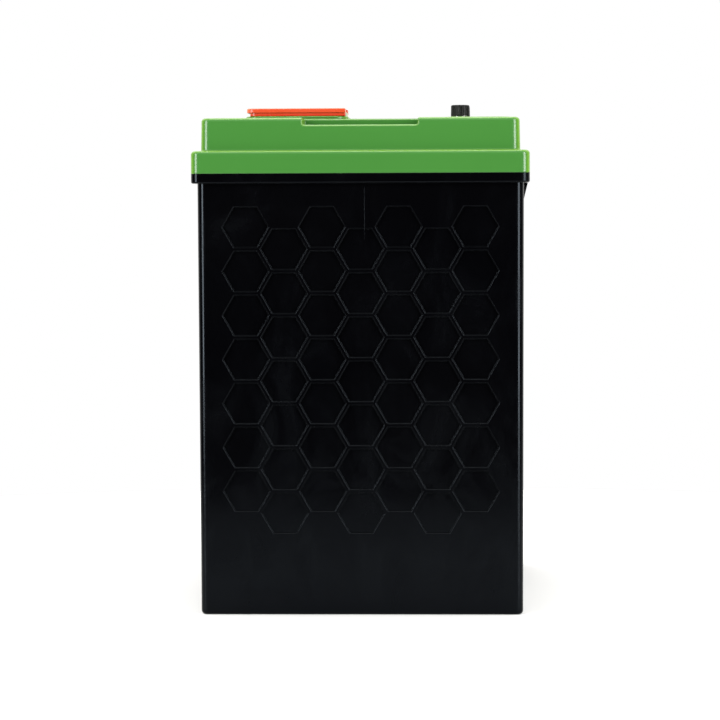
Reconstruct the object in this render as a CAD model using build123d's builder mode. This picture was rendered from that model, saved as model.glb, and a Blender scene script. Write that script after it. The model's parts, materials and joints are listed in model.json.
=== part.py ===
from build123d import *
import os
from math import atan, cos, degrees, radians, sin, tan

# Deep cycle battery in the golf-cart size: black case with a honeycomb of shallow
# pockets, green stepped lid, hinged terminal covers, two capped data ports, and the
# cell stack and control board inside.
# X is the width, Y the length and Z the height; the origin is the centre of the foot.

os.makedirs("parts", exist_ok=True)

# ---------------------------------------------------------------- driving dimensions
# Outer envelope
rim_width = 181.0
rim_length = 261.0
rim_corner_r = 5.0
foot_width = 173.0
foot_length = 253.0
foot_corner_r = 4.0
foot_edge_r = 2.2
neck_growth = 0.85           # how far each wall has leaned out by the underside of the lip

# Levels, from the foot up
floor_z = 3.5
boss_z = 216.0
lip_z = 231.4
seam_z = 236.7
step_z = 248.8
lid_z = 266.4
terminal_pad_z = 268.0
port_pad_z = 267.3
draft = degrees(atan(neck_growth / lip_z))

# Case details
wall = 3.2
lip_edge_r = 1.0
groove_width = 3.2
groove_depth = 1.5
groove_inset = 2.0
groove_outline = (rim_width - 2 * groove_inset, rim_length - 2 * groove_inset)
gusset_reach = 2.4
gusset_drop = 11.0
gusset_thick = 2.5
gusset_pitch = 45.0
gusset_count = 5

# Honeycomb of shallow pockets
hex_flats = 22.2
hex_flare = 0.45
hex_depth = 1.5
hex_draft = 6.0
hex_row_pitch = 23.6
hex_column_pitch = 20.5
hex_rows = 7
hex_low_z = 54.7             # centre of the lowest pocket of an even column
end_columns = 7
side_columns = 11

# Lid details
top_width = 170.9
top_length = 250.9
top_corner_r = 5.0
top_draft = 1.1
edge_r = 2.0
step_foot_r = 0.8
roof_z = 262.3               # underside of the roof
lid_cavity_width = 164.0
lid_cavity_length = 244.0
notch_half = 30.8
notch_depth = 3.8
notch_reach = 25.5
notch_floor_t = 3.0
notch_edge = 0.7
notch_corner_r = 1.0
terminal_pad_edge_r = 0.8
port_pad_edge_r = 0.5
pad_corner_r = 8.0

# Lid screws
screw_x = 77.5
screw_y = 117.5
screw_points = [(x, y) for x in (-screw_x, screw_x) for y in (-screw_y, 0, screw_y)]
screw_boss_r = 5.5
screw_well_r = 4.75
screw_seat_z = 243.0
screw_shank_r = 2.0
screw_head_r = 4.0
screw_head_h = 2.6
screw_length = 22.0
screw_pilot_depth = 18.0
screw_web = (8.0, 6.0)        # wall that ties each screw pillar to the case
screw_web_offset = 4.0
screw_socket_r = 1.25
screw_socket_depth = 1.6

# Terminal pads, wells and hinged covers
terminal_y = 79.0            # distance of both terminals from the middle of the lid
terminal_x = -35.0
terminal_pad = (-63.4, -7.5)
terminal_pad_length = 40.0
well_size = (42.0, 30.0)
well_wall = 2.5
well_corner_r = 3.0
well_floor_z = 250.0
well_bottom_z = 247.0
terminal_side = 18.0
terminal_top_z = 262.0
terminal_thread_r = 3.4
terminal_thread_depth = 12.0
flange_size = (34.0, 24.0)
flange_t = 3.0
seal_t = 1.5
flange_screw_x = 13.5
flange_screw_r = 1.5
flange_screw_head_r = 2.8
flange_screw_head_h = 2.0
flange_screw_grip = 2.0      # length held by the floor of the well

cover_z = terminal_pad_z + 0.2
cover_plate_z = 270.0
cover_tops = {"positive": 272.3, "negative": 271.2}
cover_left = -62.7
skirt_left = -61.0
cover_right = -9.0
skirt_right = -9.2
cover_length = 38.0
skirt_length = 36.4
cover_wall = 1.7
cover_end_solid = 3.6
cover_edge_r = 0.7
cover_corner_r = 4.5
skirt_corner_r = 3.5
sign_size = (12.0, 2.4)      # stroke of the engraved plus and minus signs
sign_depth = 0.4
hinge_x = -9.95
hinge_z = 269.95
lug_r = 0.9
hinge_pin_r = 0.45
hinge_hole_r = 0.50
hinge_hole_end = 1.5         # wall that closes the front end of the hinge hole
hinge_pin_gap = 0.1
hinge_pin_chamfer = 0.15
lug_length = 19.0
lug_gap = 0.4
lug_clear = 1.6

# Data ports
port_pad = (43.8, 81.5)
port_x = 53.2
port_ys = {"front": -90.0, "rear": -68.0}
port_boss_r = 5.2
port_boss_z = 267.6
port_hole_r = 3.8
port_body_r = 3.65
port_flange_r = 4.3
port_flange_t = 0.3
port_thread_r = 3.5
port_top_z = 271.7
port_bottom_z = 252.0
port_bore_r = 2.6
port_nut_flats = 12.0
port_nut_t = 4.0
insert_clear = 0.05
insert_sink = 1.5
contact_count = 5
contact_ring_r = 1.4
contact_r = 0.3
contact_hole_r = 0.35
cap_z = 267.8
cap_top_z = 273.8
cap_r = 5.15
cap_top_r = 5.0
cap_edge_r = 0.8
cap_bore_r = 3.7
cap_bore_top_z = 272.2
cap_seat_r = 4.5
cap_seat_z = 268.75
flute_count = 15
flute_r = 0.8
flute_depth = 0.5
oring_r = 3.95
oring_thick_r = 0.35
oring_z = 268.3

# Vent plug
vent_x = 71.0
vent_head_r = 7.0
vent_stem_r = 4.6
vent_gap = 0.2
vent_head_t = 2.0
vent_sink = 0.3
vent_edge_r = 0.5
vent_bore_r = 3.0
vent_drop = 2.0              # how far the stem reaches below the roof
vent_hole_r = 0.5
vent_hole_ring_r = 2.2
vent_hole_count = 5

# Cells: two layers of eight
cell_size = (148.0, 26.7, 95.0)
cell_pitch = 27.5
cell_count = 8
cell_corner_r = 3.0
cell_post_x = 50.0
cell_post_r = 5.0
cell_post_h = 3.0
cell_edge = 0.6
cell_vent = (16.0, 9.0)      # slot of the burst vent in the top of each can
cell_vent_depth = 0.8
separator_t = 0.7
base_pad_t = 3.0
base_pad_half = (80.0, 118.0)
layer_gap = 7.0              # from the top of the lower cans to the foot of the upper cans
busbar_width = 18.0
busbar_t = 2.0
end_plate_t = 3.5
end_plate_corner_r = 4.0
end_plate_groove = (150.0, 10.0, 1.2)
end_plate_groove_xs = (-48.0, -16.0, 16.0, 48.0)
deck_t = 2.0                 # deck of the tray between the layers
rail_width = 8.0
lead_gap = 21.0              # length left free at each end of the rails for the stack leads
strap_t = 1.0
strap_half = 8.0
strap_zs = (46.0, 160.0)
strap_hook = 12.0            # how far a strap turns in over the end plate
strap_clear = 0.3
foam_half_width = 68.0
lower_z = floor_z + base_pad_t
upper_z = lower_z + cell_size[2] + layer_gap
stack_half = cell_pitch * cell_count / 2
stack_top_z = upper_z + cell_size[2]

# Control board above the cells
tray_z = stack_top_z + cell_post_h + busbar_t + 1.0
tray_t = 2.0
tray_size = (140.0, 120.0)
tray_y = 45.0
standoff_h = 6.0
board_size = (128.0, 108.0)
board_t = 1.6
board_z = tray_z + tray_t + standoff_h
board_corner = (58.0, 48.0)
board_hole_r = 1.6
standoff_r = 4.0
standoff_bore_r = 1.3
tray_foot_x = 65.0
tray_foot_ys = (-52.0, 30.0)  # from the middle of the tray
board_screw_r = 1.25
board_screw_head = (2.7, 1.8)
board_screw_length = 6.0
switch_size = (10.0, 9.0)
switch_pitch = (13.0, 18.0)
switch_h = 4.0
sink_size = (110.0, 34.0)
sink_base_t = 3.0
fin_pitch = 5.6
fin_count = 6
fin_t = 1.6
fin_h = 11.0
capacitor_xs = (-48.0, -36.0, -24.0, -12.0)
capacitor_offset = 34.0      # in front of the middle of the board
capacitor_r = 4.5
capacitor_h = 13.0
plug_ys = (9.0, 20.0)
plug_half = (5.0, 4.0)
plug_h = 6.0

# Wires and bars
wire_r = 2.0
wire_bend_r = 5.5
wire_run_zs = (232.0, 241.0)
bar_t = 2.0
bar_tongue = 18.0            # length under a terminal flange
bar_drop_x = terminal_x - 9.0
positive_bar_ys = (-101.0, -77.5)
positive_tongue_y = -70.0
positive_bar_x = -58.0
negative_bar_half = 8.0
negative_bar_x = -56.0
side_bar_xs = (-78.0, -76.0)  # the bars that run up and along the left side of the stack
side_bar_tongue_x = -44.0
side_bar_zs = (201.0, 214.0)
front_post_ys = (-102.0, -90.0)
rear_post_ys = (90.0, 102.0)
board_bar_ys = (48.0, 60.0)
board_bar_x = -57.0


def write_part(builder, node):
    """Label a finished piece and write its file."""
    builder.part.label = node
    export_step(builder.part, f"parts/{node}.step")


def flat_faces_at(builder, z):
    """Horizontal flat faces of a part at one level."""
    return builder.faces().filter_by(Axis.Z).filter_by_position(Axis.Z, z - 0.01, z + 0.01)


def block(low, high, mode=Mode.ADD):
    """Upright box between two opposite corners, inside the open part."""
    with Locations(tuple((a + b) / 2 for a, b in zip(low, high))):
        Box(*[b - a for a, b in zip(low, high)], mode=mode)


def post(x, y, low, high, radius, mode=Mode.ADD):
    """Upright round post between two levels, inside the open part."""
    with Locations((x, y, low)):
        Cylinder(radius, high - low, align=(Align.CENTER, Align.CENTER, Align.MIN), mode=mode)


def span(low_high):
    """Middle and size of a stretch given by its two ends."""
    low, high = low_high
    return (low + high) / 2, high - low


# ------------------------------------------------------------------------------ case
# One shallow pocket, as a cutter: a flared mouth, drafted walls and a flat floor
with BuildPart() as pocket_cutter:
    with BuildSketch(Plane.XY.offset(0.2)):
        RegularPolygon(radius=hex_flats / 2 + 0.2, side_count=6, major_radius=False)
    with BuildSketch(Plane.XY.offset(-hex_flare)):
        RegularPolygon(radius=hex_flats / 2 - hex_flare, side_count=6, major_radius=False)
    loft()
    with BuildSketch(Plane.XY.offset(-hex_flare)):
        RegularPolygon(radius=hex_flats / 2 - hex_flare, side_count=6, major_radius=False)
    extrude(amount=hex_flare - hex_depth, taper=hex_draft)


def honeycomb(columns):
    """Centres of the pockets on one wall; every other column sits half a pitch lower."""
    points = []
    for column in range(columns):
        x = (column - (columns - 1) / 2) * hex_column_pitch
        drop = 0 if column % 2 else hex_row_pitch / 2
        points += [(x, hex_low_z + drop + row * hex_row_pitch) for row in range(hex_rows)]
    return points


def wall_plane(turn):
    """Plane on a leaning outer wall, turned about Z from the front wall; its Y runs up the wall."""
    reach = foot_length / 2 if turn % 180 == 0 else foot_width / 2
    outward = Vector(0, -1, 0).rotate(Axis.Z, turn)
    along = Vector(1, 0, 0).rotate(Axis.Z, turn)
    normal = outward * cos(radians(draft)) - Vector(0, 0, sin(radians(draft)))
    return Plane(origin=outward * reach, x_dir=along, z_dir=normal)


with BuildPart() as case:
    with BuildSketch(Plane.XY):
        RectangleRounded(foot_width, foot_length, foot_corner_r)
    extrude(amount=lip_z, taper=-draft)
    fillet(case.faces().sort_by(Axis.Z)[0].edges(), foot_edge_r)
    with BuildSketch(Plane.XY.offset(lip_z)):
        RectangleRounded(rim_width, rim_length, rim_corner_r)
    extrude(amount=seam_z - lip_z)
    fillet(flat_faces_at(case, lip_z)[0].outer_wire().edges(), lip_edge_r)
    # Gussets under the lip of both long walls
    for row in range(gusset_count):
        gusset_y = (row - (gusset_count - 1) / 2) * gusset_pitch
        root_x = foot_width / 2 + neck_growth
        with BuildSketch(Plane.XZ.offset(-gusset_y)):
            with BuildLine():
                Polyline((root_x - 1, lip_z + 1), (root_x + gusset_reach, lip_z + 1),
                         (root_x + gusset_reach, lip_z), (root_x - 0.3, lip_z - gusset_drop),
                         (root_x - 1, lip_z - gusset_drop), close=True)
            make_face()
            mirror(about=Plane.YZ)
        extrude(amount=gusset_thick / 2, both=True)
    with BuildSketch(Plane.XY.offset(floor_z)):
        RectangleRounded(foot_width - 2 * wall, foot_length - 2 * wall, foot_corner_r - 1)
    extrude(amount=seam_z - floor_z, taper=-draft, mode=Mode.SUBTRACT)
    # Pillars for the lid screws, with their pilot holes
    with BuildSketch(Plane.XY.offset(boss_z)):
        with Locations(*screw_points):
            Circle(screw_boss_r)
        for x, y in screw_points:
            with Locations((x + (screw_web_offset if x > 0 else -screw_web_offset), y)):
                Rectangle(*screw_web)
    extrude(amount=seam_z - boss_z)
    with Locations(*[(x, y, seam_z) for x, y in screw_points]):
        Hole(screw_shank_r + 0.05, screw_pilot_depth)
    # Groove for the gasket, in the top of the lip
    with BuildSketch(Plane.XY.offset(seam_z)):
        RectangleRounded(*groove_outline, rim_corner_r - groove_inset)
        offset(amount=-groove_width, mode=Mode.SUBTRACT)
    extrude(amount=-groove_depth, mode=Mode.SUBTRACT)
    for turn, columns in ((0, end_columns), (90, side_columns), (180, end_columns), (270, side_columns)):
        with Locations(wall_plane(turn)):
            with Locations(*honeycomb(columns)):
                add(pocket_cutter.part, mode=Mode.SUBTRACT)
write_part(case, "case")

# The gasket fills the groove
with BuildPart() as lid_gasket:
    with BuildSketch(Plane.XY.offset(seam_z)):
        RectangleRounded(*groove_outline, rim_corner_r - groove_inset)
        offset(amount=-groove_width, mode=Mode.SUBTRACT)
    extrude(amount=-groove_depth)
write_part(lid_gasket, "lid_gasket")

# ------------------------------------------------------------------------------- lid
terminal_pad_x, terminal_pad_width = span(terminal_pad)
port_pad_x, port_pad_width = span(port_pad)
port_pad_y = (port_ys["front"] + port_ys["rear"]) / 2
lug_foot = hinge_z - terminal_pad_z + 1
end_face_y = top_length / 2 - (lid_z - step_z) * tan(radians(top_draft))

with BuildPart() as lid:
    # Lower step, flush with the lip of the case
    with BuildSketch(Plane.XY.offset(seam_z)):
        RectangleRounded(rim_width, rim_length, rim_corner_r)
    extrude(amount=step_z - seam_z)
    fillet(lid.faces().sort_by(Axis.Z)[-1].edges(), edge_r)
    # Upper step
    with BuildSketch(Plane.XY.offset(step_z)):
        RectangleRounded(top_width, top_length, top_corner_r)
    extrude(amount=lid_z - step_z, taper=top_draft)
    fillet(flat_faces_at(lid, step_z)[0].inner_wires()[0].edges(), step_foot_r)
    fillet(lid.faces().sort_by(Axis.Z)[-1].edges(), edge_r)
    # Pads that carry the terminals and the ports
    with BuildSketch(Plane.XY.offset(lid_z)):
        with Locations((terminal_pad_x, -terminal_y), (terminal_pad_x, terminal_y)):
            RectangleRounded(terminal_pad_width, terminal_pad_length, pad_corner_r)
    extrude(amount=terminal_pad_z - lid_z)
    fillet(flat_faces_at(lid, terminal_pad_z).edges(), terminal_pad_edge_r)
    with BuildSketch(Plane.XY.offset(lid_z)):
        with Locations((port_pad_x, port_pad_y)):
            RectangleRounded(port_pad_width, terminal_pad_length, pad_corner_r)
    extrude(amount=port_pad_z - lid_z)
    fillet(flat_faces_at(lid, port_pad_z).edges(), port_pad_edge_r)
    with BuildSketch(Plane.XY.offset(port_pad_z)):
        with Locations(*[(port_x, y) for y in port_ys.values()]):
            Circle(port_boss_r)
    extrude(amount=port_boss_z - port_pad_z)
    # The inside
    with BuildSketch(Plane.XY.offset(seam_z)):
        RectangleRounded(lid_cavity_width, lid_cavity_length, foot_corner_r - 1)
    extrude(amount=roof_z - seam_z, mode=Mode.SUBTRACT)
    with BuildSketch(Plane.XY.offset(seam_z)):
        with Locations(*screw_points):
            Circle(screw_boss_r)
    extrude(amount=roof_z - seam_z)
    with BuildSketch(Plane.XY.offset(well_bottom_z)):
        with Locations((terminal_x, -terminal_y), (terminal_x, terminal_y)):
            RectangleRounded(well_size[0] + 2 * well_wall, well_size[1] + 2 * well_wall,
                             well_corner_r + 1)
    extrude(amount=roof_z - well_bottom_z)
    # Notches in the top edge of both ends, with a floor under them
    for end in (-1, 1):
        with BuildSketch(Plane.XY.offset(roof_z)):
            with Locations((0, end * (top_length / 2 - notch_reach / 2 - 2.5))):
                Rectangle(2 * notch_half + 8, notch_reach - 1)
        extrude(amount=-notch_floor_t)
        with BuildSketch(Plane.XZ.offset(-end * (top_length / 2 - notch_reach))):
            with Locations((0, lid_z - notch_depth)):
                notch = Rectangle(2 * notch_half, 2 * notch_depth, align=(Align.CENTER, Align.MIN))
            fillet(notch.vertices().group_by(Axis.Y)[0], notch_corner_r)
        extrude(amount=-end * 2 * notch_reach, mode=Mode.SUBTRACT)
    # Broken edges round the notches, in the top and in the end faces
    with BuildSketch(Plane.XY.offset(lid_z - notch_edge)):
        with Locations((0, -top_length / 2), (0, top_length / 2)):
            Rectangle(2 * notch_half, 2 * notch_reach)
    extrude(amount=2 * notch_edge, taper=-45, mode=Mode.SUBTRACT)
    for end in (-1, 1):
        mouth = Plane((0, end * (end_face_y - notch_edge), 0), x_dir=(-end, 0, 0), z_dir=(0, end, 0))
        with BuildSketch(mouth):
            with Locations((0, lid_z - notch_depth)):
                notch = Rectangle(2 * notch_half, 2 * notch_depth, align=(Align.CENTER, Align.MIN))
            fillet(notch.vertices().group_by(Axis.Y)[0], notch_corner_r)
        extrude(amount=2 * notch_edge, taper=-45, mode=Mode.SUBTRACT)
    # Terminal wells, the holes through their floors and the pilots under them
    with BuildSketch(Plane.XY.offset(well_floor_z)):
        with Locations((terminal_x, -terminal_y), (terminal_x, terminal_y)):
            RectangleRounded(*well_size, well_corner_r)
    extrude(amount=2 * (terminal_pad_z - well_floor_z), mode=Mode.SUBTRACT)
    with BuildSketch(Plane.XY.offset(well_bottom_z - 1)):
        with Locations((terminal_x, -terminal_y), (terminal_x, terminal_y)):
            Rectangle(terminal_side + 0.4, terminal_side + 0.4)
    extrude(amount=5, mode=Mode.SUBTRACT)
    flange_screw_points = [
        (terminal_x + side * flange_screw_x, end * terminal_y) for side in (-1, 1) for end in (-1, 1)
    ]
    with BuildSketch(Plane.XY.offset(well_bottom_z)):
        with Locations(*flange_screw_points):
            Circle(flange_screw_r + 0.05)
    extrude(amount=flange_screw_grip + 0.2, mode=Mode.SUBTRACT)
    # Screw wells
    with Locations(*[(x, y, lid_z) for x, y in screw_points]):
        CounterBoreHole(screw_shank_r + 0.3, screw_well_r, lid_z - screw_seat_z)
    # Port holes, the vent hole and its recess
    with Locations(*[(port_x, y, port_boss_z) for y in port_ys.values()]):
        Hole(port_hole_r, 2 * (port_boss_z - roof_z))
    with Locations((vent_x, port_pad_y, port_pad_z)):
        CounterBoreHole(vent_stem_r + vent_gap, vent_head_r + vent_gap, vent_head_t + vent_sink)
    # Hinge lugs
    for end in (-1, 1):
        with BuildSketch(Plane.XZ.offset(-end * terminal_y)):
            with Locations((hinge_x, hinge_z)):
                Circle(lug_r)
                Rectangle(2 * lug_r, lug_foot, align=(Align.CENTER, Align.MAX))
                Circle(hinge_hole_r, mode=Mode.SUBTRACT)
        extrude(amount=lug_length / 2, both=True)
write_part(lid, "lid")

with BuildPart() as lid_screws:
    for x, y in screw_points:
        post(x, y, screw_seat_z, screw_seat_z + screw_head_h, screw_head_r)
    fillet(lid_screws.faces().filter_by(Axis.Z).group_by(Axis.Z)[-1].edges(), 1.2)
    for x, y in screw_points:
        post(x, y, screw_seat_z - screw_length, screw_seat_z, screw_shank_r)
    chamfer(lid_screws.faces().filter_by(Axis.Z).group_by(Axis.Z)[0].edges(), 0.5)
    with BuildSketch(Plane.XY.offset(screw_seat_z + screw_head_h)):
        with Locations(*screw_points):
            RegularPolygon(radius=screw_socket_r, side_count=6, major_radius=False)
    extrude(amount=-screw_socket_depth, mode=Mode.SUBTRACT)
write_part(lid_screws, "lid_screws")

with BuildPart() as vent_plug:
    head_low = port_pad_z - vent_sink - vent_head_t
    post(vent_x, port_pad_y, head_low, port_pad_z - vent_sink, vent_head_r)
    fillet(vent_plug.faces().sort_by(Axis.Z)[-1].edges(), vent_edge_r)
    post(vent_x, port_pad_y, roof_z - vent_drop, head_low, vent_stem_r)
    post(vent_x, port_pad_y, roof_z - vent_drop, head_low - 1, vent_bore_r, mode=Mode.SUBTRACT)
    with Locations((vent_x, port_pad_y, head_low - 1)):
        with PolarLocations(vent_hole_ring_r, vent_hole_count):
            Cylinder(vent_hole_r, 2 * vent_head_t + 2, mode=Mode.SUBTRACT)
write_part(vent_plug, "vent_plug")

# ------------------------------------------------- terminals and their hinged covers
terminals = {"positive": -terminal_y, "negative": terminal_y}
flange_z = well_bottom_z - seal_t - flange_t

for name, y in terminals.items():
    with BuildPart() as terminal:
        with BuildSketch(Plane.XY.offset(flange_z)):
            with Locations((terminal_x, y)):
                RectangleRounded(*flange_size, 2.0)
        extrude(amount=flange_t)
        with BuildSketch(Plane.XY.offset(flange_z + flange_t)):
            with Locations((terminal_x, y)):
                RectangleRounded(terminal_side, terminal_side, 1.0)
        extrude(amount=terminal_top_z - flange_z - flange_t)
        with Locations((terminal_x, y, terminal_top_z)):
            Hole(terminal_thread_r, terminal_thread_depth)
        chamfer(terminal.faces().sort_by(Axis.Z)[-1].edges(), 0.7)
        for side in (-1, 1):
            post(terminal_x + side * flange_screw_x, y, flange_z, flange_z + flange_t,
                 flange_screw_r + 0.2, mode=Mode.SUBTRACT)
    write_part(terminal, f"{name}_terminal")

    top_z = cover_tops[name]
    with BuildPart() as cover:
        middle, width = span((skirt_left, skirt_right))
        with BuildSketch(Plane.XY.offset(cover_z)):
            with Locations((middle, y)):
                outline = Rectangle(width, skirt_length)
            fillet(outline.vertices().group_by(Axis.X)[0], skirt_corner_r)
        extrude(amount=cover_plate_z - cover_z)
        middle, width = span((cover_left, cover_right))
        with BuildSketch(Plane.XY.offset(cover_plate_z)):
            with Locations((middle, y)):
                outline = Rectangle(width, cover_length)
            fillet(outline.vertices().group_by(Axis.X)[0], cover_corner_r)
        extrude(amount=top_z - cover_plate_z)
        fillet(cover.faces().sort_by(Axis.Z)[-1].edges(), cover_edge_r)
        # The gap for the lug of the lid, the hollow inside and the hinge hole, closed at its front end
        block((hinge_x - lug_clear, y - lug_length / 2 - lug_gap, cover_z - 1),
              (hinge_x + 4, y + lug_length / 2 + lug_gap, top_z + 1), mode=Mode.SUBTRACT)
        block((skirt_left + cover_wall, y - skirt_length / 2 + cover_wall, cover_z - 1),
              (hinge_x - cover_end_solid, y + skirt_length / 2 - cover_wall, top_z - cover_wall),
              mode=Mode.SUBTRACT)
        with BuildSketch(Plane.XZ.offset(cover_length / 2 - hinge_hole_end - y)):
            with Locations((hinge_x, hinge_z)):
                Circle(hinge_hole_r)
        extrude(amount=-cover_length, mode=Mode.SUBTRACT)
        # Engraved sign: one stroke for minus, two for plus
        with BuildSketch(Plane.XY.offset(top_z)):
            with Locations((middle, y)):
                Rectangle(*sign_size)
                if name == "positive":
                    Rectangle(*reversed(sign_size))
        extrude(amount=-sign_depth, mode=Mode.SUBTRACT)
    write_part(cover, f"{name}_cover")

    pin_length = skirt_length / 2 + cover_length / 2 - hinge_hole_end - hinge_pin_gap
    with BuildPart() as hinge_pin:
        with BuildSketch(Plane.XZ.offset(cover_length / 2 - hinge_hole_end - hinge_pin_gap - y)):
            with Locations((hinge_x, hinge_z)):
                Circle(hinge_pin_r)
        extrude(amount=-pin_length)
        chamfer(hinge_pin.edges().filter_by(GeomType.CIRCLE), hinge_pin_chamfer)
    write_part(hinge_pin, f"{name}_hinge_pin")

with BuildPart() as terminal_seals:
    with BuildSketch(Plane.XY.offset(flange_z + flange_t)):
        with Locations(*[(terminal_x, y) for y in terminals.values()]):
            RectangleRounded(*flange_size, 2.0)
            Rectangle(terminal_side + 0.3, terminal_side + 0.3, mode=Mode.SUBTRACT)
        with Locations(*flange_screw_points):
            Circle(flange_screw_r + 0.2, mode=Mode.SUBTRACT)
    extrude(amount=seal_t)
write_part(terminal_seals, "terminal_seals")

with BuildPart() as terminal_screws:
    for x, y in flange_screw_points:
        post(x, y, flange_z - flange_screw_head_h, flange_z, flange_screw_head_r)
    fillet(terminal_screws.faces().filter_by(Axis.Z).group_by(Axis.Z)[0].edges(), 0.8)
    for x, y in flange_screw_points:
        post(x, y, flange_z, well_bottom_z + flange_screw_grip, flange_screw_r)
write_part(terminal_screws, "terminal_screws")

# ---------------------------------------------------------- data ports and their caps
for name, y in port_ys.items():
    with BuildPart() as port_shell:
        post(port_x, y, port_bottom_z, port_boss_z, port_body_r)
        post(port_x, y, port_boss_z, port_boss_z + port_flange_t, port_flange_r)
        post(port_x, y, port_boss_z + port_flange_t, port_top_z, port_thread_r)
        chamfer(port_shell.faces().sort_by(Axis.Z)[-1].edges(), 0.4)
        post(port_x, y, port_bottom_z, port_top_z, port_bore_r, mode=Mode.SUBTRACT)
    write_part(port_shell, f"{name}_port_shell")

    with BuildPart() as cap_oring:
        with Locations((port_x, y, oring_z)):
            Torus(oring_r, oring_thick_r)
    write_part(cap_oring, f"{name}_cap_oring")

    with BuildPart() as port_cap:
        with Locations((port_x, y, cap_z)):
            Cone(cap_r, cap_top_r, cap_top_z - cap_z, align=(Align.CENTER, Align.CENTER, Align.MIN))
        fillet(port_cap.faces().sort_by(Axis.Z)[-1].edges(), cap_edge_r)
        with Locations((port_x, y, cap_z)):
            with PolarLocations(cap_r + flute_r - flute_depth, flute_count):
                Cylinder(flute_r, 2 * (cap_top_z - cap_z) + 1, mode=Mode.SUBTRACT)
        post(port_x, y, cap_z, cap_bore_top_z, cap_bore_r, mode=Mode.SUBTRACT)
        post(port_x, y, cap_z, cap_seat_z, cap_seat_r, mode=Mode.SUBTRACT)
    write_part(port_cap, f"{name}_port_cap")

port_points = [(port_x, y) for y in port_ys.values()]
with BuildPart() as port_inserts:
    for x, y in port_points:
        post(x, y, port_bottom_z + 1, port_top_z - insert_sink, port_bore_r - insert_clear)
        with Locations((x, y, port_top_z)):
            with PolarLocations(contact_ring_r, contact_count):
                Hole(contact_hole_r, port_top_z - port_bottom_z)
write_part(port_inserts, "port_inserts")

with BuildPart() as port_contacts:
    with Locations(*[(x, y, port_bottom_z) for x, y in port_points]):
        with PolarLocations(contact_ring_r, contact_count):
            Cylinder(contact_r, port_top_z - port_bottom_z - 1,
                     align=(Align.CENTER, Align.CENTER, Align.MIN))
write_part(port_contacts, "port_contacts")

with BuildPart() as port_nuts:
    with BuildSketch(Plane.XY.offset(roof_z)):
        with Locations(*port_points):
            RegularPolygon(radius=port_nut_flats / 2, side_count=6, major_radius=False)
            Circle(port_body_r + 0.05, mode=Mode.SUBTRACT)
    extrude(amount=-port_nut_t)
write_part(port_nuts, "port_nuts")

# ------------------------------------------------------------------------ cell stack
def cell_y(index):
    """Middle of one cell, counted from the front."""
    return (index - (cell_count - 1) / 2) * cell_pitch


for layer, low_z in (("lower", lower_z), ("upper", upper_z)):
    top_z = low_z + cell_size[2]
    for index in range(cell_count):
        with BuildPart() as cell:
            with BuildSketch(Plane.XY.offset(low_z)):
                with Locations((0, cell_y(index))):
                    RectangleRounded(cell_size[0], cell_size[1], cell_corner_r)
            extrude(amount=cell_size[2])
            chamfer(cell.faces().filter_by(Axis.Z).edges(), cell_edge)
            for side in (-1, 1):
                post(side * cell_post_x, cell_y(index), top_z, top_z + cell_post_h, cell_post_r)
            with BuildSketch(Plane.XY.offset(top_z)):
                with Locations((0, cell_y(index))):
                    SlotOverall(*cell_vent)
            extrude(amount=-cell_vent_depth, mode=Mode.SUBTRACT)
        write_part(cell, f"{layer}_cell_{index + 1}")

    # Each bar joins two neighbours; the bars change sides along the stack
    with BuildPart() as busbars:
        for index in range(cell_count - 1):
            side = 1 if index % 2 == 0 else -1
            with BuildSketch(Plane.XY.offset(top_z + cell_post_h)):
                with Locations((side * cell_post_x, (cell_y(index) + cell_y(index + 1)) / 2)):
                    SlotOverall(cell_pitch + busbar_width - 4, busbar_width - 4, rotation=90)
            extrude(amount=busbar_t)
    write_part(busbars, f"{layer}_busbars")

with BuildPart() as cell_separators:
    for low_z in (lower_z, upper_z):
        for index in range(cell_count - 1):
            y = (cell_y(index) + cell_y(index + 1)) / 2
            block((-cell_size[0] / 2 + cell_corner_r, y - separator_t / 2, low_z),
                  (cell_size[0] / 2 - cell_corner_r, y + separator_t / 2, low_z + cell_size[2] - 2))
write_part(cell_separators, "cell_separators")

with BuildPart() as base_pad:
    block((-base_pad_half[0], -base_pad_half[1], floor_z), (*base_pad_half, lower_z))
write_part(base_pad, "base_pad")

side_x = cell_size[0] / 2
with BuildPart() as layer_tray:
    low_top = lower_z + cell_size[2]
    block((-side_x, -stack_half, upper_z - deck_t), (side_x, stack_half, upper_z))
    for side in (-1, 1):
        inner, outer = sorted((side * (side_x - rail_width), side * side_x))
        block((inner, lead_gap - stack_half, low_top), (outer, stack_half - lead_gap, upper_z - deck_t))
write_part(layer_tray, "layer_tray")

for name, end in (("front", -1), ("rear", 1)):
    with BuildPart() as end_plate:
        with BuildSketch(Plane.XZ.offset(-end * stack_half)):
            with Locations((0, (lower_z + stack_top_z) / 2)):
                RectangleRounded(cell_size[0], stack_top_z - lower_z, end_plate_corner_r)
        extrude(amount=-end * end_plate_t)
        # Pressed stiffening grooves
        with BuildSketch(Plane.XZ.offset(-end * (stack_half + end_plate_t))):
            with Locations(*[(x, (lower_z + stack_top_z) / 2) for x in end_plate_groove_xs]):
                SlotOverall(*end_plate_groove[:2], rotation=90)
        extrude(amount=end * end_plate_groove[2], mode=Mode.SUBTRACT)
    write_part(end_plate, f"{name}_end_plate")

plate_out = stack_half + end_plate_t
strap_out = plate_out + strap_t
with BuildPart() as pack_straps:
    for side in (-1, 1):
        near, far = side * (side_x + strap_clear), side * (side_x + strap_clear + strap_t)
        for mid_z in strap_zs:
            low, high = mid_z - strap_half, mid_z + strap_half
            low_x, high_x = sorted((near, far))
            block((low_x, -strap_out, low), (high_x, strap_out, high))
            low_x, high_x = sorted((side * (side_x - strap_hook), far))
            for end in (-1, 1):
                low_y, high_y = sorted((end * plate_out, end * strap_out))
                block((low_x, low_y, low), (high_x, high_y, high))
write_part(pack_straps, "pack_straps")

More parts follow.
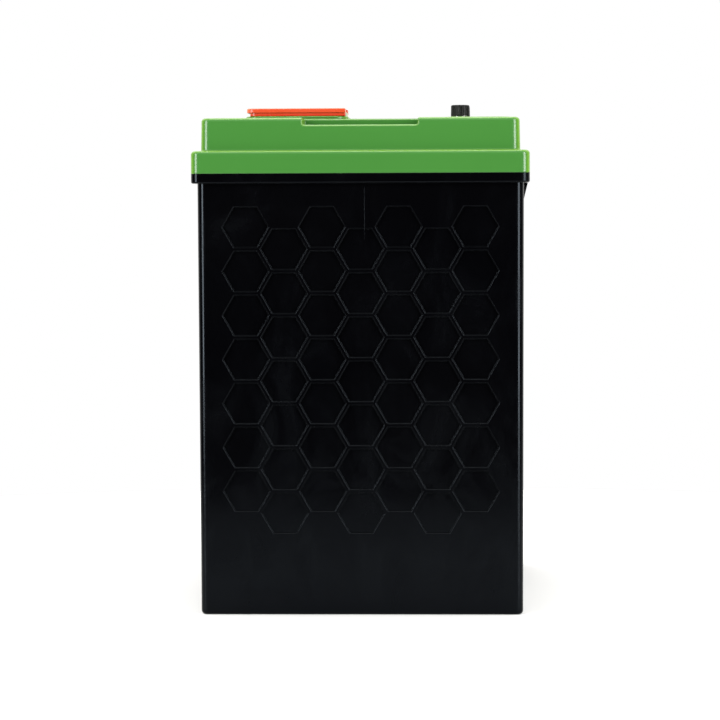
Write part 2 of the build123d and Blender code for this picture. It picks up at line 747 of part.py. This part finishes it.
with BuildPart() as end_foam:
    for end in (-1, 1):
        low_y, high_y = sorted((end * (strap_out + strap_clear), end * (foot_length / 2 - wall - 0.5)))
        block((-foam_half_width, low_y, lower_z), (foam_half_width, high_y, stack_top_z))
write_part(end_foam, "end_foam")

# --------------------------------------------------------------------- control board
board_points = [(x, tray_y + y) for x in (-board_corner[0], board_corner[0])
                for y in (-board_corner[1], board_corner[1])]
with BuildPart() as board_tray:
    with BuildSketch(Plane.XY.offset(tray_z)):
        with Locations((0, tray_y)):
            RectangleRounded(*tray_size, 4)
    extrude(amount=tray_t)
    for x, y in board_points:
        post(x, y, tray_z + tray_t, board_z, standoff_r)
        post(x, y, tray_z + tray_t, board_z, standoff_bore_r, mode=Mode.SUBTRACT)
    for x in (-tray_foot_x, tray_foot_x):
        for y in tray_foot_ys:
            post(x, tray_y + y, stack_top_z, tray_z, standoff_r)
write_part(board_tray, "board_tray")

board_top = board_z + board_t
with BuildPart() as control_board:
    with BuildSketch(Plane.XY.offset(board_z)):
        with Locations((0, tray_y)):
            RectangleRounded(*board_size, 2)
        with Locations(*board_points):
            Circle(board_hole_r, mode=Mode.SUBTRACT)
    extrude(amount=board_t)
write_part(control_board, "control_board")

with BuildPart() as board_screws:
    for x, y in board_points:
        post(x, y, board_top, board_top + board_screw_head[1], board_screw_head[0])
    fillet(board_screws.faces().filter_by(Axis.Z).group_by(Axis.Z)[-1].edges(), 0.6)
    for x, y in board_points:
        post(x, y, board_top - board_screw_length, board_top, board_screw_r)
write_part(board_screws, "board_screws")

with BuildPart() as power_switches:
    with BuildSketch(Plane.XY.offset(board_top)):
        with Locations((0, tray_y)):
            with GridLocations(*switch_pitch, 8, 2):
                Rectangle(*switch_size)
    extrude(amount=switch_h)
write_part(power_switches, "power_switches")

sink_z = board_top + switch_h
with BuildPart() as heat_sink:
    block((-sink_size[0] / 2, tray_y - sink_size[1] / 2, sink_z),
          (sink_size[0] / 2, tray_y + sink_size[1] / 2, sink_z + sink_base_t))
    with BuildSketch(Plane.XY.offset(sink_z + sink_base_t)):
        with Locations((0, tray_y)):
            with GridLocations(0, fin_pitch, 1, fin_count):
                Rectangle(sink_size[0], fin_t)
    extrude(amount=fin_h)
write_part(heat_sink, "heat_sink")

with BuildPart() as board_capacitors:
    for x in capacitor_xs:
        post(x, tray_y - capacitor_offset, board_top, board_top + capacitor_h, capacitor_r)
    fillet(board_capacitors.faces().filter_by(Axis.Z).group_by(Axis.Z)[-1].edges(), 0.6)
write_part(board_capacitors, "board_capacitors")

with BuildPart() as board_connectors:
    for y in plug_ys:
        block((port_x - plug_half[0], y - plug_half[1], board_top),
              (port_x + plug_half[0], y + plug_half[1], board_top + plug_h))
write_part(board_connectors, "board_connectors")

# Wires from the ports to the board, each one straight down, across and down again
with BuildPart() as port_harness:
    for start_y, end_y, run_z in zip(port_ys.values(), plug_ys, wire_run_zs):
        with BuildLine() as route:
            FilletPolyline((port_x, start_y, port_bottom_z), (port_x, start_y, run_z),
                           (port_x, end_y, run_z), (port_x, end_y, board_top + plug_h), radius=wire_bend_r)
        with BuildSketch(Plane.XY.offset(port_bottom_z)):
            with Locations((port_x, start_y)):
                Circle(wire_r)
        sweep(path=route.wires()[0])
write_part(port_harness, "port_harness")

# Formed copper bars between the stack, the board and the terminals
post_top = stack_top_z + cell_post_h
low_post = lower_z + cell_size[2] + cell_post_h
drop_back_x = bar_drop_x + bar_t
with BuildPart() as positive_lead:
    low_y, high_y = positive_bar_ys
    block((bar_drop_x, low_y, flange_z - bar_t), (bar_drop_x + bar_tongue, positive_tongue_y, flange_z))
    block((bar_drop_x, low_y, post_top), (drop_back_x, high_y, flange_z))
    block((positive_bar_x, low_y, post_top), (drop_back_x, high_y, post_top + bar_t))
write_part(positive_lead, "positive_lead")

with BuildPart() as negative_lead:
    low_y, high_y = terminal_y - negative_bar_half, terminal_y + negative_bar_half
    block((bar_drop_x, low_y, flange_z - bar_t), (bar_drop_x + bar_tongue, high_y, flange_z))
    block((bar_drop_x, low_y, board_top), (drop_back_x, high_y, flange_z))
    block((negative_bar_x, low_y, board_top), (drop_back_x, high_y, board_top + bar_t))
write_part(negative_lead, "negative_lead")

side_low_x, side_high_x = side_bar_xs
with BuildPart() as stack_negative_lead:
    low_y, high_y = front_post_ys
    block((side_low_x, low_y, low_post), (side_bar_tongue_x, high_y, low_post + bar_t))
    block((side_low_x, low_y, low_post), (side_high_x, high_y, side_bar_zs[1]))
    block((side_low_x, low_y, side_bar_zs[0]), (side_high_x, board_bar_ys[1], side_bar_zs[1]))
    block((side_low_x, board_bar_ys[0], side_bar_zs[0]), (side_high_x, board_bar_ys[1], board_top + bar_t))
    block((side_low_x, board_bar_ys[0], board_top), (board_bar_x, board_bar_ys[1], board_top + bar_t))
write_part(stack_negative_lead, "stack_negative_lead")

with BuildPart() as layer_link:
    low_y, high_y = rear_post_ys
    block((side_low_x, low_y, low_post), (side_bar_tongue_x, high_y, low_post + bar_t))
    block((side_low_x, low_y, low_post), (side_high_x, high_y, post_top + bar_t))
    block((side_low_x, low_y, post_top), (side_bar_tongue_x, high_y, post_top + bar_t))
write_part(layer_link, "layer_link")
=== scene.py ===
import json
from math import atan, cos, pi, radians, sin

import bpy
from mathutils import Matrix, Vector


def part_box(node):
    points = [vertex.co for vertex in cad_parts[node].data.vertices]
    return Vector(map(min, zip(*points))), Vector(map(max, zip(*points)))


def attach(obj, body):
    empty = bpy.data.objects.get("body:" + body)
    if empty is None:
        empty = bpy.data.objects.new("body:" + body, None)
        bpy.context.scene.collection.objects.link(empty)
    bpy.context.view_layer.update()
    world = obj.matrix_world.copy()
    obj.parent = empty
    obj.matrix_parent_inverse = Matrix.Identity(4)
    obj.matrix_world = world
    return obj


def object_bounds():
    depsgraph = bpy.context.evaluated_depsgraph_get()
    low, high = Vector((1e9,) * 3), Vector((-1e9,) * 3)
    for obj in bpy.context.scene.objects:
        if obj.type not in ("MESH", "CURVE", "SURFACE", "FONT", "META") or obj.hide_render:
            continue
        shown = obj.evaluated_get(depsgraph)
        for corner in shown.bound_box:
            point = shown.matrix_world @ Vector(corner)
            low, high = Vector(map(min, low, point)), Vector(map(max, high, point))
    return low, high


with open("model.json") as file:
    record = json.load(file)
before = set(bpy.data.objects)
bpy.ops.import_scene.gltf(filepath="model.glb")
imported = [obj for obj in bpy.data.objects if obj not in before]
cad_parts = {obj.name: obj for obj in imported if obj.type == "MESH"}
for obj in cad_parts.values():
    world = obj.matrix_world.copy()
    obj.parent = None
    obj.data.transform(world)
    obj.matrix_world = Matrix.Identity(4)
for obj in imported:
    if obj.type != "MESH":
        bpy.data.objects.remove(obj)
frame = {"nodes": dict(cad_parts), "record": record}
cad_low, cad_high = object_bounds()
NODES = frame["nodes"]
MM = 0.001


# ---------------------------------------------------------------------- materials
class Shader:
    """A node material with one Principled shader and short calls to add nodes to it."""

    def __init__(self, name, roughness=0.4, metallic=0.0, specular=0.5):
        self.material = bpy.data.materials.new(name)
        self.material.use_nodes = True
        self.tree = self.material.node_tree
        self.tree.nodes.clear()
        out = self.add("ShaderNodeOutputMaterial")
        self.surface = self.add("ShaderNodeBsdfPrincipled")
        self.surface.inputs["Roughness"].default_value = roughness
        self.surface.inputs["Metallic"].default_value = metallic
        self.surface.inputs["Specular IOR Level"].default_value = specular
        self.join(self.surface.outputs[0], out.inputs["Surface"])
        self.place = self.add("ShaderNodeTexCoord").outputs["Object"]

    def add(self, kind, **settings):
        node = self.tree.nodes.new(kind)
        for key, value in settings.items():
            setattr(node, key, value)
        return node

    def join(self, source, target):
        self.tree.links.new(source, target)

    def stretched(self, scale):
        """The object's own coordinates, scaled unevenly."""
        mapping = self.add("ShaderNodeMapping")
        mapping.inputs["Scale"].default_value = scale
        self.join(self.place, mapping.inputs["Vector"])
        return mapping.outputs["Vector"]

    def noise(self, scale, detail=3.0, roughness=0.5, distortion=0.0, vector=None):
        node = self.add("ShaderNodeTexNoise")
        node.inputs["Scale"].default_value = scale
        node.inputs["Detail"].default_value = detail
        node.inputs["Roughness"].default_value = roughness
        node.inputs["Distortion"].default_value = distortion
        self.join(vector or self.place, node.inputs["Vector"])
        return node.outputs["Fac"]

    def cells(self, scale):
        """Distance to the middle of the nearest of many scattered cells."""
        node = self.add("ShaderNodeTexVoronoi")
        node.inputs["Scale"].default_value = scale
        self.join(self.place, node.inputs["Vector"])
        return node.outputs["Distance"]

    def axis(self, output, name):
        """One axis of the surface's place or of the way it faces."""
        node = self.add("ShaderNodeSeparateXYZ")
        self.join(self.add("ShaderNodeTexCoord").outputs[output], node.inputs[0])
        return node.outputs[name]

    def ramp(self, value, low, high, start=0.0, end=1.0):
        """Maps a stretch of a value onto another range."""
        node = self.add("ShaderNodeMapRange")
        for key, number in (("From Min", low), ("From Max", high), ("To Min", start), ("To Max", end)):
            node.inputs[key].default_value = number
        self.join(value, node.inputs["Value"])
        return node.outputs["Result"]

    def math(self, operation, a, b):
        node = self.add("ShaderNodeMath", operation=operation)
        for socket, value in zip(node.inputs, (a, b)):
            if isinstance(value, (int, float)):
                socket.default_value = value
            else:
                self.join(value, socket)
        return node.outputs[0]

    def mix(self, factor, first, second):
        """Blends two colours by a factor."""
        node = self.add("ShaderNodeMix", data_type="RGBA")
        self.join(factor, node.inputs["Factor"])
        for socket, value in ((node.inputs["A"], first), (node.inputs["B"], second)):
            if isinstance(value, tuple):
                socket.default_value = (*value, 1.0)
            else:
                self.join(value, socket)
        return node.outputs["Result"]

    def colour(self, value):
        self.join(value, self.surface.inputs["Base Color"])

    def soften(self, radius):
        """Rounds the normals over a sharp edge, as a mould or a tool leaves it."""
        node = self.add("ShaderNodeBevel", samples=6)
        node.inputs["Radius"].default_value = radius
        self.join(node.outputs["Normal"], self.surface.inputs["Normal"])

    def bump(self, height, distance, strength):
        """Adds a relief to the normals; a second call works on top of the first."""
        node = self.add("ShaderNodeBump")
        node.inputs["Strength"].default_value = strength
        node.inputs["Distance"].default_value = distance
        self.join(height, node.inputs["Height"])
        if self.surface.inputs["Normal"].is_linked:
            self.join(self.surface.inputs["Normal"].links[0].from_socket, node.inputs["Normal"])
        self.join(node.outputs["Normal"], self.surface.inputs["Normal"])


def moulded(name, colour, shade, roughness, specular=0.5, grain=0.012, specks=None, smudge=0.10,
            edge=0.35, painted_light=None, painted_shade=None, sheen=(1.0, 1.0, 1.0)):
    """Moulded plastic: fine spark-eroded grain, slow waviness, smudges in the gloss, and dust specks.

    The grain's depth and the edges' radius are in millimetres. Faces that turn away from the two ends take a
    painted light colour, lighter and yellower, standing in for the light that falls on the sides and the
    top. The third entry of the painted shade band is a painted shade colour that comes in between its two
    heights and holds below the lower one.
    """
    s = Shader(name, specular=specular)
    s.surface.inputs["Specular Tint"].default_value = (*sheen, 1.0)
    s.soften(edge * MM)
    broad = s.noise(9.0, detail=2.0)
    tint = s.mix(s.ramp(broad, 0.35, 0.65), colour, shade)
    fine = s.noise(1100.0, detail=2.0, roughness=0.6)
    if specks:
        dust = s.math("MULTIPLY", s.ramp(s.cells(420.0), 0.10, 0.05), s.ramp(s.noise(60.0), 0.60, 0.66))
        tint = s.mix(dust, tint, specks)
    if painted_light:
        # Painted light: faces turned away from the two ends, the sides and the top, get a lighter, yellower
        # colour in place of the light falling on them
        facing_end = s.math("ABSOLUTE", s.axis("Normal", "Y"), 0.0)
        tint = s.mix(s.ramp(facing_end, 0.88, 0.60), tint, painted_light)
    # Painted shade: from the higher height down to the lower one the colour fades into a darker one, in
    # place of the shadow under an overhang
    if painted_shade:
        high, low, painted_shade_colour = painted_shade
        tint = s.mix(s.ramp(s.axis("Object", "Z"), high, low), tint, painted_shade_colour)
    s.colour(tint)
    smear = s.noise(38.0, detail=5.0, roughness=0.65, distortion=0.8, vector=s.stretched((1.0, 1.0, 0.55)))
    patches = s.ramp(smear, 0.40, 0.72, -0.35 * smudge, smudge)
    gloss = s.math("ADD", s.math("ADD", patches, roughness), s.ramp(fine, 0.3, 0.7, -0.005, 0.005))
    s.join(gloss, s.surface.inputs["Roughness"])
    s.bump(s.noise(14.0, detail=1.0), 0.25 * MM, 0.35)
    s.bump(fine, grain * MM, 0.6)
    return s.material


def knurled_plastic(name, colour, shade):
    """Hard black plastic that fingers have polished a little on the ridges."""
    s = Shader(name, specular=0.10)
    s.soften(0.15 * MM)
    worn = s.ramp(s.noise(160.0, detail=4.0), 0.45, 0.65)
    s.colour(s.mix(worn, colour, shade))
    s.join(s.ramp(worn, 0.0, 1.0, 0.46, 0.34), s.surface.inputs["Roughness"])
    s.bump(s.noise(1500.0, detail=2.0), 0.02 * MM, 0.7)
    return s.material


def rubber(name, colour, shade):
    """Dull rubber with a paler bloom in patches."""
    s = Shader(name, specular=0.3)
    bloom = s.ramp(s.noise(70.0, detail=5.0), 0.35, 0.7)
    s.colour(s.mix(bloom, colour, shade))
    s.join(s.ramp(bloom, 0.0, 1.0, 0.62, 0.82), s.surface.inputs["Roughness"])
    s.bump(s.noise(1800.0, detail=2.0), 0.03 * MM, 0.8)
    return s.material


def foam(name, colour, shade):
    """Closed-cell foam with dark pores."""
    s = Shader(name, specular=0.15, roughness=0.95)
    pores = s.cells(900.0)
    s.colour(s.mix(s.ramp(pores, 0.1, 0.6), shade, colour))
    s.bump(pores, 0.2 * MM, 0.8)
    return s.material


def metal(name, colour, shade, roughness, brush=(1.0, 1.0, 60.0)):
    """Machined or plated metal: fine tool lines one way, with duller handled patches."""
    s = Shader(name, metallic=1.0)
    s.soften(0.15 * MM)
    lines = s.noise(260.0, detail=3.0, roughness=0.7, vector=s.stretched(brush))
    dull = s.noise(45.0, detail=4.0)
    s.colour(s.mix(s.ramp(dull, 0.35, 0.7), colour, shade))
    wear = s.ramp(dull, 0.3, 0.7, roughness, roughness + 0.1)
    gloss = s.math("ADD", s.ramp(lines, 0.3, 0.7, -0.08, 0.08), wear)
    s.join(gloss, s.surface.inputs["Roughness"])
    s.bump(lines, 0.02 * MM, 0.4)
    return s.material


def circuit_board(name):
    """Green solder mask with copper tracks showing faintly through it."""
    s = Shader(name, roughness=0.35)
    tracks = s.add("ShaderNodeTexBrick")
    tracks.inputs["Scale"].default_value = 240.0
    tracks.inputs["Mortar Size"].default_value = 0.03
    s.join(s.place, tracks.inputs["Vector"])
    s.colour(s.mix(tracks.outputs["Fac"], (0.010, 0.085, 0.030), (0.035, 0.19, 0.075)))
    s.bump(tracks.outputs["Fac"], 0.03 * MM, 0.6)
    return s.material


def shrink_film(name):
    """Thin blue film drawn over an aluminium can, with fine wrinkles."""
    s = Shader(name, specular=0.5)
    wrinkle = s.noise(120.0, detail=4.0, vector=s.stretched((1.0, 1.0, 0.2)))
    s.colour(s.mix(s.ramp(wrinkle, 0.3, 0.7), (0.012, 0.07, 0.27), (0.02, 0.11, 0.36)))
    s.join(s.ramp(wrinkle, 0.3, 0.7, 0.22, 0.36), s.surface.inputs["Roughness"])
    s.bump(wrinkle, 0.1 * MM, 0.5)
    return s.material


BLACK = moulded("black_case_plastic", (0.0004, 0.0004, 0.0006), (0.0006, 0.0006, 0.0008), 0.19,
                specular=0.075, grain=0.0012, smudge=0.16, edge=0.3, specks=(0.003, 0.003, 0.004),
                sheen=(0.74, 0.87, 1.0))
# The green lid carries painted light: its sides and top take a lighter, yellower colour
GREEN = moulded("green_lid_plastic", (0.0274, 0.1065, 0.0182), (0.0262, 0.1030, 0.0176), 0.24,
                specular=0.26, grain=0.0012, smudge=0.03, edge=1.0, painted_light=(0.066, 0.162, 0.011))
# The red cover carries painted light on its sides and top, and painted shade on its lower part under the
# overhanging plate, measured down from the cover's top
COVER_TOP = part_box("positive_cover")[1][2]
RED = moulded("red_cover_plastic", (0.370, 0.040, 0.0136), (0.360, 0.037, 0.0128), 0.28,
              specular=0.28, grain=0.002, painted_light=(0.56, 0.10, 0.040),
              painted_shade=(COVER_TOP - 2.6 * MM, COVER_TOP - 4.0 * MM, (0.36, 0.020, 0.008)))
COVER_BLACK = moulded("black_cover_plastic", (0.012, 0.012, 0.014), (0.018, 0.018, 0.020), 0.34, grain=0.008)
CAP = knurled_plastic("black_cap_plastic", (0.0022, 0.0025, 0.0022), (0.006, 0.0064, 0.0058))
RUBBER = rubber("black_rubber", (0.012, 0.012, 0.012), (0.03, 0.03, 0.03))
FOAM = foam("grey_foam", (0.09, 0.09, 0.10), (0.03, 0.03, 0.035))
BRASS = metal("tinned_brass", (0.60, 0.53, 0.40), (0.48, 0.41, 0.29), 0.28)
NICKEL = metal("nickel_plate", (0.50, 0.48, 0.45), (0.38, 0.365, 0.34), 0.26)
STEEL = metal("zinc_plated_steel", (0.44, 0.45, 0.47), (0.33, 0.34, 0.36), 0.32)
ALUMINIUM = metal("rolled_aluminium", (0.74, 0.75, 0.76), (0.62, 0.63, 0.64), 0.34, brush=(40.0, 1.0, 1.0))
COPPER = metal("bare_copper", (0.78, 0.40, 0.26), (0.58, 0.27, 0.17), 0.30, brush=(1.0, 30.0, 1.0))
INSULATOR = moulded("black_insulator", (0.02, 0.02, 0.022), (0.03, 0.03, 0.032), 0.5, grain=0.02)
JACKET = rubber("wire_jacket", (0.02, 0.02, 0.02), (0.035, 0.035, 0.035))
BOARD = circuit_board("solder_mask")
FILM = shrink_film("blue_film")

BY_SLOT = {
    "case_black": BLACK, "lid_green": GREEN, "cover_red": RED, "cover_black": COVER_BLACK,
    "cap_black": CAP, "seal_rubber": RUBBER, "foam": FOAM, "terminal_brass": BRASS,
    "port_nickel": NICKEL, "screw_steel": STEEL, "insulator": INSULATOR, "wire_jacket": JACKET,
    "board_green": BOARD, "cell_aluminium": ALUMINIUM, "cell_wrap": FILM, "copper": COPPER,
}
SLOT_OF = {part["node"]: part["material_slot"] for part in frame["record"]["subparts"]}
for node_name, node_object in NODES.items():
    node_object.data.materials.clear()
    node_object.data.materials.append(BY_SLOT[SLOT_OF[node_name]])


# ------------------------------------------------------------------------- pieces
def new_piece(name, verts, faces, material, body):
    """A smooth mesh that rides on one of the bodies and counts under one of the material slots."""
    mesh = bpy.data.meshes.new(name)
    mesh.from_pydata(verts, [], faces)
    mesh.update()
    mesh.materials.append(material)
    piece = bpy.data.objects.new(name, mesh)
    bpy.context.scene.collection.objects.link(piece)
    for face in mesh.polygons:
        face.use_smooth = True
    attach(piece, body)
    return piece


def tube_faces(rings, points):
    """Faces of a closed tube whose rings of points follow one another, with both ends capped."""
    faces = []
    for i in range(rings - 1):
        for j in range(points):
            k = (j + 1) % points
            faces.append((i * points + j, i * points + k, (i + 1) * points + k, (i + 1) * points + j))
    faces.append(tuple(range(points - 1, -1, -1)))
    faces.append(tuple(range((rings - 1) * points, rings * points)))
    return faces


def ridge(name, start, end, side, out, width, height, material, body):
    """A thin moulded line: a half-round bead between two points, whose ends fade into the surface."""
    start, end, side, out = Vector(start), Vector(end), Vector(side).normalized(), Vector(out).normalized()
    steps, arc = 12, 6
    sunk = 0.03 * MM
    verts = []
    for i in range(steps + 1):
        along = i / steps
        swell = min(1.0, 6 * along, 6 * (1 - along)) ** 0.5
        for j in range(arc + 1):
            turn = pi * j / arc
            offset = side * (cos(turn) * width / 2) + out * (sin(turn) * height * swell - sunk)
            verts.append(start.lerp(end, along) + offset)
    return new_piece(name, verts, tube_faces(steps + 1, arc + 1), material, body)


def thread(name, middle, radius, low, high, pitch, height, material, body, inward=False):
    """A screw thread on a round wall: a rounded V that winds up it and fades out at both ends."""
    per_turn = 40
    steps = int(per_turn * (high - low) / pitch)
    way = -1.0 if inward else 1.0
    profile = [(-0.46, -0.25), (-0.12, 0.85), (0.0, 1.0), (0.12, 0.85), (0.46, -0.25)]
    verts = []
    for i in range(steps + 1):
        turn = 2 * pi * i / per_turn
        swell = min(1.0, 5 * i / per_turn, 5 * (steps - i) / per_turn)
        for up, out in profile:
            reach = radius + way * height * (out * swell if out > 0 else out)
            z = low + (high - low) * i / steps + up * pitch
            verts.append((middle[0] + reach * cos(turn), middle[1] + reach * sin(turn), z))
    return new_piece(name, verts, tube_faces(steps + 1, len(profile)), material, body)


# The faint witness line of the mould, near the middle of both end walls, down from the lip
LIP_DROP = 5.3 * MM
FOOT_INSET = 4.0 * MM
NECK_GROWTH = 0.85 * MM
WITNESS_X = 2.3 * MM
WITNESS_LENGTH = 30.0 * MM
WITNESS_WIDTH = 0.45 * MM
WITNESS_HEIGHT = 0.08 * MM
case_low, case_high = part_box("case")
LIP_Z = case_high[2] - LIP_DROP
WITNESS_END = LIP_Z - WITNESS_LENGTH


def wall_y(z):
    """The leaning face of the front wall."""
    return case_low[1] + FOOT_INSET - NECK_GROWTH * z / LIP_Z


for name, way in (("front_witness_line", 1), ("rear_witness_line", -1)):
    ridge(name, (way * WITNESS_X, way * wall_y(LIP_Z), LIP_Z),
          (way * WITNESS_X, way * wall_y(WITNESS_END), WITNESS_END),
          (1, 0, 0), (0, -way, 0), WITNESS_WIDTH, WITNESS_HEIGHT, BLACK, "battery")

# Threads of the terminals and of the ports, which show when the covers and the caps are open
TERMINAL_PITCH = 1.25 * MM
TERMINAL_THREAD_HEIGHT = 0.22 * MM
TERMINAL_THREAD_LENGTH = 10.0 * MM
TERMINAL_LEAD_IN = 0.8 * MM
PORT_PITCH = 1.0 * MM
PORT_THREAD_R = 3.5 * MM
PORT_THREAD_HEIGHT = 0.11 * MM
PORT_THREAD_LENGTH = 2.5 * MM
PORT_LEAD_IN = 0.6 * MM

for mount in frame["record"]["mounts"]:
    if mount["kind"] == "threaded_hole":
        bore = mount["dims"]["r_mm"] * MM
        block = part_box(mount["name"].replace("_thread", "_terminal"))
        top = block[1][2] - TERMINAL_LEAD_IN
        thread(mount["name"], mount["pos_m"], bore, top - TERMINAL_THREAD_LENGTH, top, TERMINAL_PITCH,
               TERMINAL_THREAD_HEIGHT, BRASS, "battery", inward=True)

for port in ("front_port", "rear_port"):
    shell_low, shell_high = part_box(port + "_shell")
    middle = [(a + b) / 2 for a, b in zip(shell_low, shell_high)]
    top = shell_high[2] - PORT_LEAD_IN
    thread(port + "_thread", middle, PORT_THREAD_R, top - PORT_THREAD_LENGTH, top, PORT_PITCH,
           PORT_THREAD_HEIGHT, NICKEL, "battery")


# -------------------------------------------------------------- floor, lights, camera
def light(name, size, power, distance, azimuth, height):
    """A white soft box that stands round the object and looks at its middle."""
    lamp = bpy.data.lights.new(name, "AREA")
    lamp.shape = "RECTANGLE"
    lamp.size, lamp.size_y = size
    lamp.energy = power
    holder = bpy.data.objects.new(name, lamp)
    bpy.context.scene.collection.objects.link(holder)
    turn = radians(azimuth)
    holder.location = (distance * sin(turn), -distance * cos(turn), height)
    holder.rotation_euler = (LIGHTS_AIM - holder.location).to_track_quat("-Z", "Y").to_euler()
    holder.visible_camera = False


def floor():
    """A round pale table under the object."""
    bpy.ops.mesh.primitive_circle_add(vertices=128, radius=FLOOR_RADIUS, fill_type="NGON")
    ground = bpy.context.object
    ground.name = "floor"
    s = Shader("floor_paint", specular=0.2, roughness=0.6)
    s.colour(s.mix(s.noise(3.0), (0.50, 0.50, 0.50), (0.53, 0.53, 0.53)))
    ground.data.materials.append(s.material)


FLOOR_RADIUS = 0.66
LIGHTS_AIM = Vector((0.0, 0.0, 0.12))
floor()
light("soft_box_left", (0.34, 0.90), 29.0, 1.25, -50.0, 0.45)
light("soft_box_right", (0.44, 0.90), 31.0, 1.25, 51.0, 0.42)
light("soft_box_above", (0.50, 0.35), 6.5, 0.0, 0.0, 1.25)


def studio():
    """White behind the object for the camera; for the light, a bright ceiling and a bright far wall."""
    world = bpy.data.worlds.new("studio")
    bpy.context.scene.world = world
    world.use_nodes = True
    tree = world.node_tree
    tree.nodes.clear()
    out = tree.nodes.new("ShaderNodeOutputWorld")
    chooser = tree.nodes.new("ShaderNodeMixShader")
    rays = tree.nodes.new("ShaderNodeLightPath")
    backdrop = tree.nodes.new("ShaderNodeBackground")
    room = tree.nodes.new("ShaderNodeBackground")
    place = tree.nodes.new("ShaderNodeTexCoord")
    direction = tree.nodes.new("ShaderNodeSeparateXYZ")
    glow = tree.nodes.new("ShaderNodeMath")
    tree.links.new(place.outputs["Generated"], direction.inputs[0])
    for socket, (axis, start, end, low, high) in zip(glow.inputs, (CEILING, FAR_WALL)):
        rise = tree.nodes.new("ShaderNodeMapRange")
        rise.interpolation_type = "SMOOTHSTEP"
        for key, value in (("From Min", start), ("From Max", end), ("To Min", low), ("To Max", high)):
            rise.inputs[key].default_value = value
        tree.links.new(direction.outputs[axis], rise.inputs["Value"])
        tree.links.new(rise.outputs["Result"], socket)
    tree.links.new(glow.outputs[0], room.inputs["Strength"])
    room.inputs["Color"].default_value = (1.0, 0.99, 0.96, 1.0)
    backdrop.inputs["Color"].default_value = (1.0, 1.0, 1.0, 1.0)
    tree.links.new(rays.outputs["Is Camera Ray"], chooser.inputs[0])
    tree.links.new(room.outputs[0], chooser.inputs[1])
    tree.links.new(backdrop.outputs[0], chooser.inputs[2])
    tree.links.new(chooser.outputs[0], out.inputs["Surface"])


# The axis that each brightness rises along, where its rise starts and ends, and how bright it is there
CEILING = ("Z", 0.20, 0.75, 0.02, 2.0)
FAR_WALL = ("Y", 0.15, 0.50, 0.0, 1.3)
studio()
bpy.context.scene.view_settings.view_transform = "Standard"

# The camera stands a little to the right of square on, lower than the lid, and looks down at the middle
VIEW_TURN = 2.4
VIEW_ROLL = -0.24
VIEW_DISTANCE = 1.7
VIEW_HEIGHT = 0.215
AIM_HEIGHT = 0.1371
AIM_LEFT = 0.24 * MM
FRAME_WIDTH_AT_FRONT = 0.3841
SENSOR = 36.0
front_y = cad_low[1]
view_turn = radians(VIEW_TURN)
view_tilt = atan((VIEW_HEIGHT - AIM_HEIGHT) / VIEW_DISTANCE)
camera_data = bpy.data.cameras.new("camera")
camera_data.sensor_width = SENSOR
camera_data.lens = SENSOR * VIEW_DISTANCE / cos(view_tilt) / FRAME_WIDTH_AT_FRONT
camera_data.clip_end = 20.0
camera = bpy.data.objects.new("camera", camera_data)
bpy.context.scene.collection.objects.link(camera)
camera.location = (VIEW_DISTANCE * sin(view_turn) - AIM_LEFT,
                   front_y - VIEW_DISTANCE * cos(view_turn), VIEW_HEIGHT)
spin = (Matrix.Rotation(view_turn, 4, "Z") @ Matrix.Rotation(pi / 2 - view_tilt, 4, "X")
        @ Matrix.Rotation(radians(VIEW_ROLL), 4, "Z"))
camera.rotation_euler = spin.to_euler()
bpy.context.scene.camera = camera
